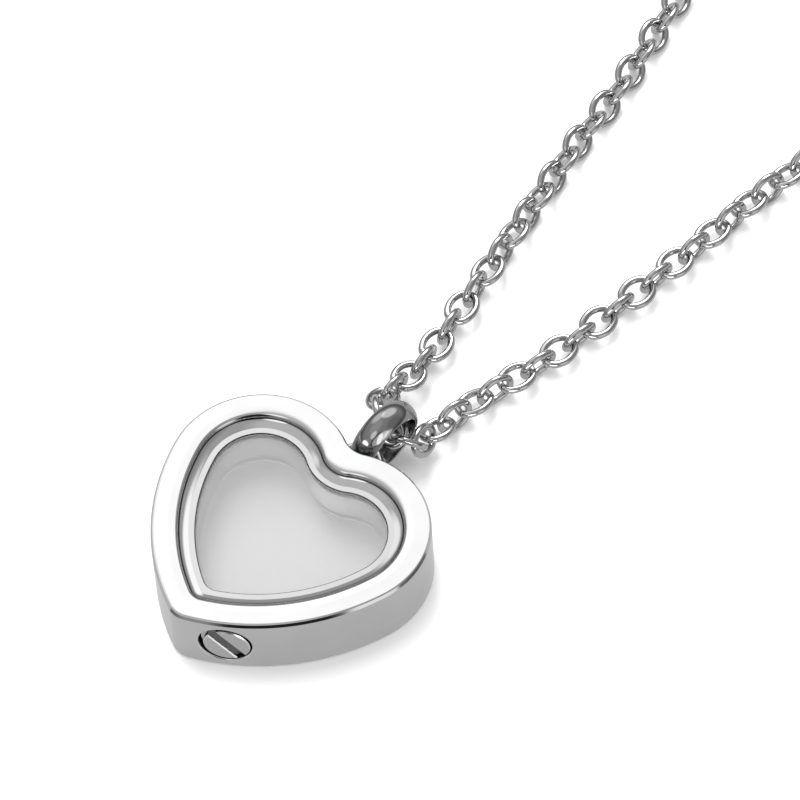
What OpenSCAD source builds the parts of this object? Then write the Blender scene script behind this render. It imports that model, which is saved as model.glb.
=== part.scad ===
/* [Heart case] */
// overall width of the heart across its two lobes
heart_w = 24; // [20:0.1:30]
// radius of each round lobe
lobe_r = 7.6; // [6.4:0.05:9]
// radius of the long flank from lobe to tip
flank_r = 19.8; // [17:0.1:26]
// how far below the level of the lobe centres the flank takes over, in degrees
flank_deg = 17.3; // [12:0.1:22]
// rounding of the tip
tip_r = 2; // [1:0.05:3]
// rounding in the notch between the lobes
notch_r = 2.5; // [1.5:0.05:4]
// thickness of the case
case_t = 6.1; // [5.9:0.05:8]
// width of the polished bevel on the outer edges
edge_bevel = 0.15; // [0.05:0.01:0.3]

/* [Bezel and ledge] */
// flat polished rim around each face
bezel_w = 2.05; // [1.6:0.05:2.5]
// rounding of the tip at the inner edge of the rim
opening_tip_r = 1.55; // [1.4:0.05:2]
// rounding of the notch at the inner edge of the rim
opening_notch_r = 2.6; // [1.5:0.1:4]
// softened inner edge of the rim, across
soft_w = 0.2; // [0.1:0.01:0.3]
// softened inner edge of the rim, down
soft_h = 0.3; // [0.2:0.01:0.35]
// slope from the rim down to the ledge, across
slope_w = 0.8; // [0.5:0.05:1]
// slope from the rim down to the ledge, down
slope_h = 0.4; // [0.3:0.05:0.45]
// width of the flat ledge around the window
ledge_w = 0.57; // [0.4:0.01:0.9]
// thickness of the lip that holds the glass
lip_t = 0.25; // [0.15:0.01:0.35]
// rounding of the window's tip
window_tip_r = 1.4; // [0.8:0.05:2.5]
// rounding of the window's notch
window_notch_r = 4.3; // [3:0.1:6]

/* [Glass] */
// thickness of each pane
glass_t = 0.7; // [0.5:0.05:0.9]
// how far each pane reaches under its lip
glass_grip = 0.45; // [0.3:0.01:0.6]
// gap around each pane
glass_gap = 0.04; // [0.03:0.01:0.08]

/* [Fill screw] */
// outer diameter of the screw
screw_d = 4.3; // [3.6:0.05:4.4]
// length of the screw
screw_len = 2.4; // [2:0.05:2.45]
// depth of the screw's face below the side wall
screw_recess = 0.06; // [0.03:0.01:0.12]
// gap between the screw's smooth head and the bore
head_gap = 0.27; // [0.15:0.01:0.35]
// height of the screw's smooth head
head_h = 0.55; // [0.45:0.05:0.7]
// gap between the screw's thread and the bore
screw_gap = 0.05; // [0.02:0.01:0.09]
// direction of the bore, in degrees to the right of the tip
screw_deg = 33.5; // [30:0.5:45]
// width of the driver slot
slot_w = 0.84; // [0.5:0.01:1]
// depth of the driver slot
slot_depth = 0.4; // [0.3:0.05:0.45]
// how the driver slot is turned from upright, in degrees
slot_deg = 37; // [0:1:180]
// distance from one thread ridge to the next
thread_pitch = 0.4; // [0.3:0.05:0.6]
// depth of the thread grooves
thread_depth = 0.12; // [0.05:0.01:0.2]
// diameter of the channel from the bore to the chamber
channel_d = 2.2; // [1.2:0.1:2.6]
// space left under the screw
screw_play = 0.15; // [0.1:0.01:0.2]
// bevel at the mouth of the bore
mouth_bevel = 0.12; // [0.05:0.01:0.18]

/* [Bail and ear] */
// outer diameter of the bail ring
bail_d = 6.7; // [6.4:0.05:8]
// thickness of the bail's band at its crown
bail_t = 0.76; // [0.6:0.01:0.9]
// width of the bail's band
bail_w = 2.3; // [1.8:0.05:2.4]
// radius of the band's rounded outer face
bail_crown_r = 1.5; // [1.3:0.05:3]
// height of the bail's centre above the table
bail_z = 3.81; // [3.7:0.01:4.5]
// lean of the bail to the right at its top, in degrees
bail_lean = 7.9; // [0:0.1:9]
// gap between the bail and the notch of the case
bail_gap = 0.25; // [0.15:0.01:0.5]
// wire of the soldered ear that holds the bail
ear_wire_d = 0.6; // [0.5:0.05:0.8]
// radius of the ear at the middle of its wire
ear_r = 2; // [1.98:0.01:2.1]
// how far the ear's centre stands above the bottom of the notch
ear_rise = 0.35; // [0.2:0.01:0.5]

/* [Chain] */
// wire of the chain links
link_wire_d = 0.62; // [0.55:0.01:0.63]
// outer length of a link
link_l = 3.62; // [3.56:0.01:3.7]
// outer width of a link
link_w = 2.85; // [2.75:0.01:2.88]
// gap between two links that hold each other in a straight run
link_gap = 0.18; // [0.16:0.01:0.25]
// how much closer the links lie where the chain turns through the bail, as a share of their spacing
bunch = 0.12; // [0:0.01:0.14]
// number of links on each side of the bail over which they close up
bunch_links = 8; // [4:1:12]

/* [Clasp and end ring] */
// overall width of the clasp
clasp_w = 5; // [4.2:0.1:6]
// thickness of the clasp's rounded body
clasp_t = 1.4; // [0.8:0.05:1.6]
// outer diameter of the clasp's eye
clasp_eye_d = 3.2; // [3:0.05:3.6]
// thickness of the clasp's eye
clasp_eye_t = 0.8; // [0.6:0.05:0.9]
// outer diameter of the end ring
ring_d = 4.4; // [4.3:0.05:5]
// wire of the end ring
ring_wire_d = 0.6; // [0.5:0.05:0.8]
// play between the clasp, the end ring and the chain
clasp_play = 0.2; // [0.15:0.01:0.4]

/* [Hidden] */

// Facets of round parts in a preview
round_fn = 96;
link_fn = 32;
wire_fn = 24;

// Overlap that joins the arcs of the heart without a gap
lap = 0.001;
// Length that surely clears a wall
past = 1;
// Hair's breadth between the chain and the table
table_gap = 0.03;

// Heart outline: centres of the arcs, with the middle of its height at y = 0
lobe_x = heart_w/2 - lobe_r;
flank_x = lobe_x - (flank_r - lobe_r)*cos(flank_deg);
flank_rise = (flank_r - lobe_r)*sin(flank_deg);
tip_drop = flank_rise - sqrt(pow(flank_r - tip_r, 2) - pow(flank_x, 2)) - tip_r;
lobe_y = -(lobe_r + tip_drop)/2;
flank_y = lobe_y + flank_rise;
function notch_c(notch) = lobe_y + sqrt(pow(lobe_r + notch, 2) - pow(lobe_x, 2));
notch_y = notch_c(notch_r) - notch_r;

// Distance of each wall from the outline, and its heights above the back face
soft_in = bezel_w + soft_w;
ledge_in = soft_in + slope_w;
window_in = ledge_in + ledge_w;
groove_in = window_in - glass_grip - glass_gap;
ledge_z = case_t - soft_h - slope_h;
groove_top = ledge_z - lip_t;
groove_h = glass_t + 2*glass_gap;
opening_tip = bezel_w + opening_tip_r;
opening_notch = opening_notch_r - soft_in;
window_tip = window_in + window_tip_r;
window_notch = window_notch_r - window_in;

// Bore of the fill screw, square to the wall
bore_d = screw_d + 2*screw_gap;
bore_depth = screw_recess + screw_len + screw_play;
bore_deg = screw_deg - 90;

// Bail
bail_r = bail_d/2;
bail_y = notch_y + bail_gap + bail_r;
ear_y = notch_y + ear_rise;

// Chain
link_c = (link_w - link_wire_d)/2;
link_h = (link_l - link_w)/2;
link_pitch = link_l - 2*link_wire_d - link_gap;

// Lean of the end ring in degrees, and the height at which it and the clasp lie
ring_lean = 60;
ring_r = (ring_d - ring_wire_d)/2;
end_z = ring_r*sin(ring_lean) + ring_wire_d/2 + table_gap;

// Route of the chain from the clasp down the left strand, through the bail and back up the right strand:
// x, y, height above its resting height, and turn of the links in degrees
route = [
    [-10, 217, end_z - rest(90), 90],
    [-20.5, 214, 0, 70],
    [-29.5, 204, 0, 45],
    [-34, 185, 0, 45],
    [-32.5, 155, 0, 45],
    [-26.8, 118, 0, 50],
    [-18.5, 86, 0, 50],
    [-11.04, 57.63, 0, 49],
    [-9.34, 48.53, 0, 42],
    [-6.97, 37.58, 0, 27],
    [-5.08, 28.93, 0, 0],
    [-3.64, 22.35, 0.1, -6.9],
    [-3.28, 17.88, 1.16, -2.7],
    [-2.46, 15.69, 2.2, 11.9],
    [-1.08, 14.61, 2.44, 23.4],
    [1.15, 14.41, 2.23, 25.3],
    [2.24, 15.59, 1.39, 59.4],
    [1.74, 18.14, 0.13, 72.9],
    [2.2, 22.1, 0, 75],
    [3.99, 30.16, 0, 98],
    [5, 38.88, 0, 102],
    [5.81, 47.83, 0, 82],
    [6.61, 56.88, 0, 68],
    [11, 86, 0, 50],
    [17.5, 118, 0, 45],
    [22.5, 155, 0, 45],
    [23.5, 187, 0, 45],
    [20, 205.5, 0, 45],
    [12, 214.5, 0, 45],
    [2, 217, end_z - rest(ring_lean), ring_lean],
];
route_steps = 8;

// Smooth curve through the points of the route
function curve(a, b, c, d, t) =
    0.5*(2*b + (c - a)*t + (2*a - 5*b + 4*c - d)*t*t + (3*b - a - 3*c + d)*t*t*t);
function at(i) = route[min(max(i, 0), len(route) - 1)];
samples = [
    for (i = [0 : len(route) - 2], s = [0 : route_steps - 1])
        curve(at(i - 1), at(i), at(i + 1), at(i + 2), s/route_steps),
    at(len(route) - 1),
];
function rest(turn) = link_c*max(abs(sin(turn)), abs(cos(turn))) + link_wire_d/2 + table_gap;
path = [for (p = samples) [p[0], p[1], rest(p[3]) + p[2]]];
lengths = [for (i = 0, s = 0; i < len(path); s = s + (i + 1 < len(path) ? norm(path[i + 1] - path[i]) : 0),
    i = i + 1) s];
path_len = lengths[len(lengths) - 1];
function table(k) = [for (i = [0 : len(path) - 1]) [lengths[i], path[i][k]]];
table_x = table(0);
table_y = table(1);
table_z = table(2);
table_turn = [for (i = [0 : len(path) - 1]) [lengths[i], samples[i][3]]];
function spot(s) = [lookup(s, table_x), lookup(s, table_y), lookup(s, table_z)];

// An even number of links fills the whole path, a little closer together beside the bail
link_count = 2*round((path_len/link_pitch + bunch*bunch_links)/2);
left_count = ceil(link_count/2);
function share(i) = 1 - bunch*max(0, 1 - abs(i + 0.5 - link_count/2)/bunch_links);
shares = [for (i = 0, s = 0; i <= link_count; s = s + share(i), i = i + 1) s];
joints = [for (s = shares) path_len*s/shares[link_count]];
function link_turn(i) = lookup((joints[i] + joints[i + 1])/2, table_turn) + 90*(i % 2);

// Clasp and end ring, between the two ends of the chain
eye_r = (clasp_eye_d - clasp_eye_t)/2;
eye_x = route[0][0] - clasp_play/2 - clasp_eye_t/2 + eye_r;
ring_x = route[len(route) - 1][0] + clasp_play/2 + ring_wire_d/2 - ring_r;
clasp_x0 = eye_x + eye_r;
clasp_x1 = ring_x - ring_r + ring_wire_d/2 + clasp_play + clasp_t;
ring_turn = 90 - link_turn(link_count - 1);

// Solid with the heart's outline, set in from it by rows of [inset, height] from low to high; tip is the inset at
// which its tip would come to a point, and notch the radius that its notch would have at no inset
module heart(rows, tip, notch) {
    z0 = rows[0][1];
    z1 = rows[len(rows) - 1][1];
    flank_a = atan2(-sqrt(pow(flank_r - tip, 2) - pow(flank_x, 2)), -flank_x);
    tip_y = flank_y + (flank_r - tip)*sin(flank_a);
    far = 2*flank_r;
    for (side = [-1, 1])
        translate([side*lobe_x, lobe_y, 0])
            disc(rows, lobe_r + lap);
    intersection() {
        for (side = [-1, 1])
            intersection_for (k = [-1, 1])
                translate([k*flank_x, flank_y, 0])
                    disc(rows, flank_r);
        translate([0, 0, z0])
            linear_extrude(z1 - z0)
                polygon([
                    [0, tip_y],
                    [far*cos(flank_a), tip_y + far*sin(flank_a)],
                    [far, lobe_y - far*sin(flank_deg)],
                    [lobe_x + far*cos(flank_deg), lobe_y - far*sin(flank_deg)],
                    [lobe_x, lobe_y],
                    [-lobe_x, lobe_y],
                    [-lobe_x - far*cos(flank_deg), lobe_y - far*sin(flank_deg)],
                    [-far, lobe_y - far*sin(flank_deg)],
                    [-far*cos(flank_a), tip_y + far*sin(flank_a)],
                ]);
    }
    translate([0, tip_y, 0])
        disc(rows, tip + lap);
    difference() {
        translate([0, 0, z0])
            linear_extrude(z1 - z0)
                polygon([[-lobe_x, lobe_y], [lobe_x, lobe_y], [0, notch_c(notch)]]);
        translate([0, notch_c(notch), 0])
            rotate_extrude($fn = round_fn)
                polygon(concat(
                    [[0, z0 - past], [notch + lap + rows[0][0], z0 - past]],
                    [for (r = rows) [notch + lap + r[0], r[1]]],
                    [[notch + lap + rows[len(rows) - 1][0], z1 + past], [0, z1 + past]]));
    }
}

// Round solid whose radius shrinks by each row's inset
module disc(rows, r) {
    rotate_extrude($fn = round_fn)
        polygon(concat(
            [[0, rows[0][1]]],
            [for (row = rows) [r - row[0], row[1]]],
            [[0, rows[len(rows) - 1][1]]]));
}

// Places a thing on the side wall with +Z pointing straight out of it
module at_bore() {
    translate([flank_x + flank_r*cos(bore_deg), flank_y + flank_r*sin(bore_deg), case_t/2])
        rotate([0, 90, bore_deg])
            children();
}

module case_outer() {
    heart([[edge_bevel, 0], [0, edge_bevel], [0, case_t - edge_bevel], [edge_bevel, case_t]], tip_r, notch_r);
}

module window_cut() {
    heart([[window_in, -past], [window_in, case_t + past]], window_tip, window_notch);
}

module face_cut() {
    heart([[ledge_in, ledge_z], [soft_in, case_t - soft_h], [bezel_w, case_t], [bezel_w, case_t + past]],
        opening_tip, opening_notch);
}

module groove_cut() {
    heart([[groove_in, groove_top - groove_h], [groove_in, groove_top]], window_tip, window_notch);
}

module other_face() {
    translate([0, 0, case_t])
        mirror([0, 0, 1])
            children();
}

module bore_cut() {
    at_bore() {
        translate([0, 0, -bore_depth])
            cylinder(d = bore_d, h = bore_depth + past, $fn = round_fn);
        translate([0, 0, -mouth_bevel])
            cylinder(d1 = bore_d, d2 = bore_d + 2*(mouth_bevel + past), h = mouth_bevel + past, $fn = round_fn);
        translate([0, 0, -window_in - past])
            cylinder(d = channel_d, h = window_in + past - bore_depth + lap, $fn = round_fn);
    }
}

module ear() {
    translate([0, ear_y, case_t/2]) {
        rotate_extrude(angle = 180, $fn = round_fn)
            translate([ear_r, 0])
                circle(d = ear_wire_d, $fn = wire_fn);
        for (side = [-1, 1])
            translate([side*ear_r, -ear_rise, 0])
                rotate([-90, 0, 0])
                    cylinder(d = ear_wire_d, h = ear_rise, $fn = wire_fn);
    }
}

module case() {
    color("silver") {
        difference() {
            case_outer();
            window_cut();
            face_cut();
            other_face()
                face_cut();
            groove_cut();
            other_face()
                groove_cut();
            bore_cut();
        }
        ear();
    }
}

module pane() {
    heart([[groove_in + glass_gap, groove_top - glass_gap - glass_t],
        [groove_in + glass_gap, groove_top - glass_gap]], window_tip, window_notch);
}

module front_glass() {
    color("lightcyan")
        pane();
}

module back_glass() {
    color("lightcyan")
        other_face()
            pane();
}

module fill_screw() {
    ridges = ceil((screw_len - head_h)/thread_pitch) - 1;
    lead = screw_len - head_h - ridges*thread_pitch;
    core_r = screw_d/2 - thread_depth;
    head_r = bore_d/2 - head_gap;
    color("silver")
        at_bore()
            translate([0, 0, -screw_recess - screw_len])
                difference() {
                    rotate_extrude($fn = round_fn)
                        polygon(concat(
                            [[0, 0], [core_r, 0], [core_r, lead]],
                            [for (k = [0 : ridges - 1], e = [0.5, 1])
                                [e == 1 ? core_r : screw_d/2, lead + (k + e)*thread_pitch]],
                            [[head_r, screw_len - head_h], [head_r, screw_len], [0, screw_len]]));
                    translate([0, 0, screw_len])
                        rotate([0, 0, slot_deg])
                            cube([screw_d + past, slot_w, 2*slot_depth], center = true);
                }
}

module bail() {
    color("dimgray")
        translate([0, bail_y, bail_z])
            rotate([0, 90 + bail_lean, 0])
                rotate_extrude($fn = round_fn)
                    intersection() {
                        translate([bail_r - bail_crown_r, 0])
                            circle(r = bail_crown_r, $fn = round_fn);
                        translate([bail_r - bail_t, -bail_w/2])
                            square([bail_t + past, bail_w]);
                    }
}

// One link about its middle, long way along X and flat in the XY plane
module link() {
    for (end = [-1, 1]) {
        translate([end*link_h, 0, 0])
            rotate([0, 0, -90*end])
                rotate_extrude(angle = 180, $fn = link_fn)
                    translate([link_c, 0])
                        circle(d = link_wire_d, $fn = wire_fn);
        translate([-link_h, end*link_c, 0])
            rotate([0, 90, 0])
                cylinder(d = link_wire_d, h = 2*link_h, $fn = wire_fn);
    }
}

module link_at(i) {
    a = spot(joints[i]);
    b = spot(joints[i + 1]);
    run = (b - a)/norm(b - a);
    translate((a + b)/2)
        rotate([0, -asin(run[2]), atan2(run[1], run[0])])
            rotate([link_turn(i), 0, 0])
                link();
}

module chain_left() {
    color("silver")
        for (i = [0 : left_count - 1])
            link_at(i);
}

module chain_right() {
    color("silver")
        for (i = [left_count : link_count - 1])
            link_at(i);
}

// Closed loop of round wire, long way along X, from x0 to x1 over its outside
module loop(x0, x1, w, d) {
    r = (w - d)/2;
    xa = x0 + w/2;
    xb = x1 - w/2;
    for (end = [-1, 1]) {
        translate([end > 0 ? xb : xa, 0, 0])
            rotate([0, 0, -90*end])
                rotate_extrude(angle = 180, $fn = round_fn)
                    translate([r, 0])
                        circle(d = d, $fn = wire_fn);
        translate([xa, end*r, 0])
            rotate([0, 90, 0])
                cylinder(d = d, h = xb - xa, $fn = wire_fn);
    }
}

module clasp() {
    color("silver")
        translate([0, route[0][1], end_z]) {
            translate([eye_x, 0, 0])
                rotate_extrude($fn = round_fn)
                    translate([eye_r, 0])
                        circle(d = clasp_eye_t, $fn = wire_fn);
            loop(clasp_x0, clasp_x1, clasp_w, clasp_t);
        }
}

module end_ring() {
    color("silver")
        translate([ring_x, route[0][1], end_z])
            rotate([ring_turn, 0, 0])
                rotate_extrude($fn = round_fn)
                    translate([ring_r, 0])
                        circle(d = ring_wire_d, $fn = wire_fn);
}

case();
front_glass();
back_glass();
fill_screw();
bail();
chain_left();
chain_right();
clasp();
end_ring();
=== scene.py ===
import math

import bpy
import numpy as np
from mathutils import Matrix, Vector


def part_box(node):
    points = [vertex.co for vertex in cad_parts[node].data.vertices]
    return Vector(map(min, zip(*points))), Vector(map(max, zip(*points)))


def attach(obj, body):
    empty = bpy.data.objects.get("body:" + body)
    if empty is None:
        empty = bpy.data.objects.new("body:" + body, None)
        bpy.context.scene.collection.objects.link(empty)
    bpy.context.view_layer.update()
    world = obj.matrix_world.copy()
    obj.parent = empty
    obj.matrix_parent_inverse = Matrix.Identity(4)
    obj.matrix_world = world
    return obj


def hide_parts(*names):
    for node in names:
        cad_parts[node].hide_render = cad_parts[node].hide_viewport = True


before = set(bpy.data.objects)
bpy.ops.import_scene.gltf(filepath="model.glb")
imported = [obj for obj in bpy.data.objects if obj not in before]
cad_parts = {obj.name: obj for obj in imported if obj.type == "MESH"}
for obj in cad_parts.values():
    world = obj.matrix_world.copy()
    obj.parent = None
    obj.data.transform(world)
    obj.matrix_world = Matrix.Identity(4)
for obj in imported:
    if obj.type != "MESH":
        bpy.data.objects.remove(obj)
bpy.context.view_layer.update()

MM = 0.001


# ------------------------------------------------------------------ meshes
class Skin:
    """Collects points and faces with a normal for each corner, in millimetres."""

    def __init__(self):
        self.points, self.faces, self.normals = [], [], []
        self.finish, self.finishes = 0, []

    def add(self, pts):
        first = len(self.points)
        self.points += [tuple(p) for p in pts]
        return list(range(first, len(self.points)))

    def face(self, ids, normals):
        self.faces.append(tuple(ids))
        self.finishes.append(self.finish)
        self.normals += [tuple(n) for n in normals]

    def strip(self, a, b, na, nb):
        """Quads between two closed rows of points, the second on the left of the first's run."""
        n = len(a)
        for i in range(n):
            j = (i + 1) % n
            self.face((a[i], a[j], b[j], b[i]), (na[i], na[j], nb[j], nb[i]))

    def fan(self, ids, normal, flip=False):
        ids = list(reversed(ids)) if flip else list(ids)
        self.face(ids, [normal] * len(ids))

    def build(self, name, *materials):
        me = bpy.data.meshes.new(name)
        me.from_pydata([tuple(c * MM for c in p) for p in self.points], [], self.faces)
        me.polygons.foreach_set("use_smooth", [True] * len(me.polygons))
        me.normals_split_custom_set([Vector(n).normalized() for n in self.normals])
        me.polygons.foreach_set("material_index", self.finishes)
        for material in materials:
            me.materials.append(material)
        ob = bpy.data.objects.new(name, me)
        bpy.context.scene.collection.objects.link(ob)
        return ob


def lathe(skin, profile, place, steps, closed=False):
    """Turns a profile of pieces about the Z axis of place. Each piece is a list of (r, z, nr, nz)."""
    angles = [2 * math.pi * k / steps for k in range(steps)]
    turn = place.to_3x3()
    first = last = None

    def ring(r, z):
        return skin.add([place @ Vector((r * math.cos(a), r * math.sin(a), z)) for a in angles])

    def aim(nr, nz):
        return [turn @ Vector((nr * math.cos(a), nr * math.sin(a), nz)) for a in angles]

    for number, piece in enumerate(profile):
        row = last
        for k, (r, z, nr, nz) in enumerate(piece):
            if k == 0:
                if row is None:
                    row = first = ring(r, z)
                kept = aim(nr, nz)
                continue
            end = number == len(profile) - 1 and k == len(piece) - 1
            new = first if closed and end else ring(r, z)
            now = aim(nr, nz)
            skin.strip(row, new, kept, now)
            row, kept = new, now
        last = row


def line(a, b):
    """A straight piece of profile with the normal on the right of its run."""
    dx, dy = b[0] - a[0], b[1] - a[1]
    n = math.hypot(dx, dy)
    return [(*a, dy / n, -dx / n), (*b, dy / n, -dx / n)]


def arc(c, r, a0, a1, steps):
    """A round piece of profile with the normal away from its centre."""
    out = []
    for k in range(steps + 1):
        a = math.radians(a0 + (a1 - a0) * k / steps)
        out.append((c[0] + r * math.cos(a), c[1] + r * math.sin(a), math.cos(a), math.sin(a)))
    return out


# ------------------------------------------------------------------ heart outline
HEART_W, CASE_T = 24, 6.1
LOBE_R, FLANK_R, TIP_R, NOTCH_R = 7.6, 19.8, 2.0, 2.5
FLANK_DEG = 17.3
LOBE_X = HEART_W / 2 - LOBE_R
FLANK_X = LOBE_X - (FLANK_R - LOBE_R) * math.cos(math.radians(FLANK_DEG))
RISE = (FLANK_R - LOBE_R) * math.sin(math.radians(FLANK_DEG))
TIP_DROP = RISE - math.sqrt((FLANK_R - TIP_R) ** 2 - FLANK_X**2) - TIP_R
LOBE_Y = -(LOBE_R + TIP_DROP) / 2
FLANK_Y = LOBE_Y + RISE


def notch_centre(notch):
    return LOBE_Y + math.sqrt((LOBE_R + notch) ** 2 - LOBE_X**2)


NOTCH_Y = notch_centre(NOTCH_R)
RIM_IN, LIP_IN, WINDOW_IN = 2.05, 2.25, 3.62
RIM_TIP_R, LIP_NOTCH_R = 1.55, 2.6
WINDOW_TIP_R, WINDOW_NOTCH_R = 1.4, 4.3
# Inset at which the tip would come to a point, and radius that the notch would have at no inset
OUTER = (TIP_R, NOTCH_R)
OPENING = (RIM_IN + RIM_TIP_R, LIP_NOTCH_R - LIP_IN)
WINDOW = (WINDOW_IN + WINDOW_TIP_R, WINDOW_NOTCH_R - WINDOW_IN)
# Points on each half of the outline's arcs
TIP_N, FLANK_N, LOBE_N, NOTCH_N = 10, 54, 64, 14


def outline(inset, tip, notch):
    """Points of the heart set in by inset, anticlockwise from the tip, and their outward directions."""
    a_flank = math.atan2(-math.sqrt((FLANK_R - tip) ** 2 - FLANK_X**2), -FLANK_X)
    tip_y = FLANK_Y + (FLANK_R - tip) * math.sin(a_flank)
    notch_y = notch_centre(notch)
    a_notch = math.atan2(notch_y - LOBE_Y, -LOBE_X)
    arcs = [
        ((0, tip_y), tip - inset, -math.pi / 2, a_flank, TIP_N, 1),
        ((FLANK_X, FLANK_Y), FLANK_R - inset, a_flank, -math.radians(FLANK_DEG), FLANK_N, 1),
        ((LOBE_X, LOBE_Y), LOBE_R - inset, -math.radians(FLANK_DEG), a_notch, LOBE_N, 1),
        ((0, notch_y), notch + inset, a_notch - math.pi, -math.pi / 2, NOTCH_N, -1),
    ]
    pts, dirs = [], []
    for c, r, a0, a1, n, s in arcs:
        for k in range(n):
            a = a0 + (a1 - a0) * k / n
            pts.append((c[0] + r * math.cos(a), c[1] + r * math.sin(a)))
            dirs.append((s * math.cos(a), s * math.sin(a)))
    pts.append((0, notch_y - notch - inset))
    dirs.append((0, 1))
    half = len(pts)
    pts += [(-x, y) for x, y in reversed(pts[1 : half - 1])]
    dirs += [(-x, y) for x, y in reversed(dirs[1 : half - 1])]
    return pts, dirs


def sweep(skin, profile, closed=True, skip=()):
    """Runs a profile round the heart. Its pieces are (list of (outward, z, normal out, normal up), corners at its
    start, corners at its end, finish); skip names faces left out, as (piece, step, column)."""
    first = row = None
    rows = {}
    for number, (piece, start, stop, finish) in enumerate(profile):
        skin.finish = finish
        for k, (out, z, no, nz) in enumerate(piece):
            pts, dirs = outline(-out, *(u + (v - u) * k / (len(piece) - 1) for u, v in zip(start, stop)))
            now = [(d[0] * no, d[1] * no, nz) for d in dirs]
            if k == 0:
                if row is None:
                    row = first = skin.add([(x, y, z) for x, y in pts])
                kept = now
                rows[number, k] = row
                continue
            end = closed and number == len(profile) - 1 and k == len(piece) - 1
            new = first if end else skin.add([(x, y, z) for x, y in pts])
            n = len(row)
            for i in range(n):
                if (number, k - 1, i) in skip:
                    continue
                j = (i + 1) % n
                skin.face((row[i], row[j], new[j], new[i]), (kept[i], kept[j], now[j], now[i]))
            row, kept = new, now
            rows[number, k] = row
    skin.finish = 0
    return rows


def flip(profile):
    """The same profile on the back face, run the other way."""
    return [([(o, CASE_T - z, no, -nz) for o, z, no, nz in reversed(p)], b, a, f)
            for p, a, b, f in reversed(profile)]


# The front half of the frame's section, from the middle of the wall over the rim down to the window. Outward is
# minus the inset. The rim rolls off gently to a chamfer at its outer edge, and over a round lip into a cove at its
# inner edge, as polishing leaves it.
ROLL_R, ROLL_DEG, CHAMFER, CHAMFER_DEG = 0.5, 24, 0.26, 52
SOFTEN_IN, SOFTEN_DEG = 1.3, 6
SHOULDER_IN, SHOULDER_DROP = 1.95, 0.03
LIP_Z, LIP_DEG = 5.8, 72
COVE_IN, LEDGE_Z, COVE_TOP_DEG, COVE_DEG = 3.05, 5.4, 50, 20
EDGE_R = 0.09
GROOVE_IN, GROOVE_LOW, GROOVE_TOP = 3.13, 4.37, 5.15
# The case's finishes, in the order of its materials. Apart from the rim's steel and the pane seat, they are copies
# of one steel toned for how light falls there: painted shade on the lip line, the ledge and the bore, a painted
# highlight on the mouth's edge, and a tone on the chamber wall set to match the floor's even shade
STEEL, SEAT, BORE_SHADE, LEDGE_SHADE, SHADE_LINE, CHAMBER_EVEN_SHADE, EDGE_HIGHLIGHT = range(7)


def divided(piece, n):
    """A straight piece cut into n steps."""
    a, b = piece
    return [tuple(u + (v - u) * k / n for u, v in zip(a, b)) for k in range(n + 1)]


def blend(a, b, ta, tb, n):
    """A smooth piece from a to b whose surface leans ta degrees at its start and tb at its end, outward positive."""
    d = math.hypot(b[0] - a[0], b[1] - a[1])
    va = (-math.cos(math.radians(ta)) * d, math.sin(math.radians(ta)) * d)
    vb = (-math.cos(math.radians(tb)) * d, math.sin(math.radians(tb)) * d)
    out = []
    for k in range(n + 1):
        t = k / n
        h = (2 * t**3 - 3 * t**2 + 1, t**3 - 2 * t**2 + t, 3 * t**2 - 2 * t**3, t**3 - t**2)
        g = (6 * t**2 - 6 * t, 3 * t**2 - 4 * t + 1, 6 * t - 6 * t**2, 3 * t**2 - 2 * t)
        p = [h[0] * a[i] + h[1] * va[i] + h[2] * b[i] + h[3] * vb[i] for i in (0, 1)]
        v = [g[0] * a[i] + g[1] * va[i] + g[2] * b[i] + g[3] * vb[i] for i in (0, 1)]
        m = math.hypot(*v)
        out.append((p[0], p[1], v[1] / m, -v[0] / m))
    return out


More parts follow.
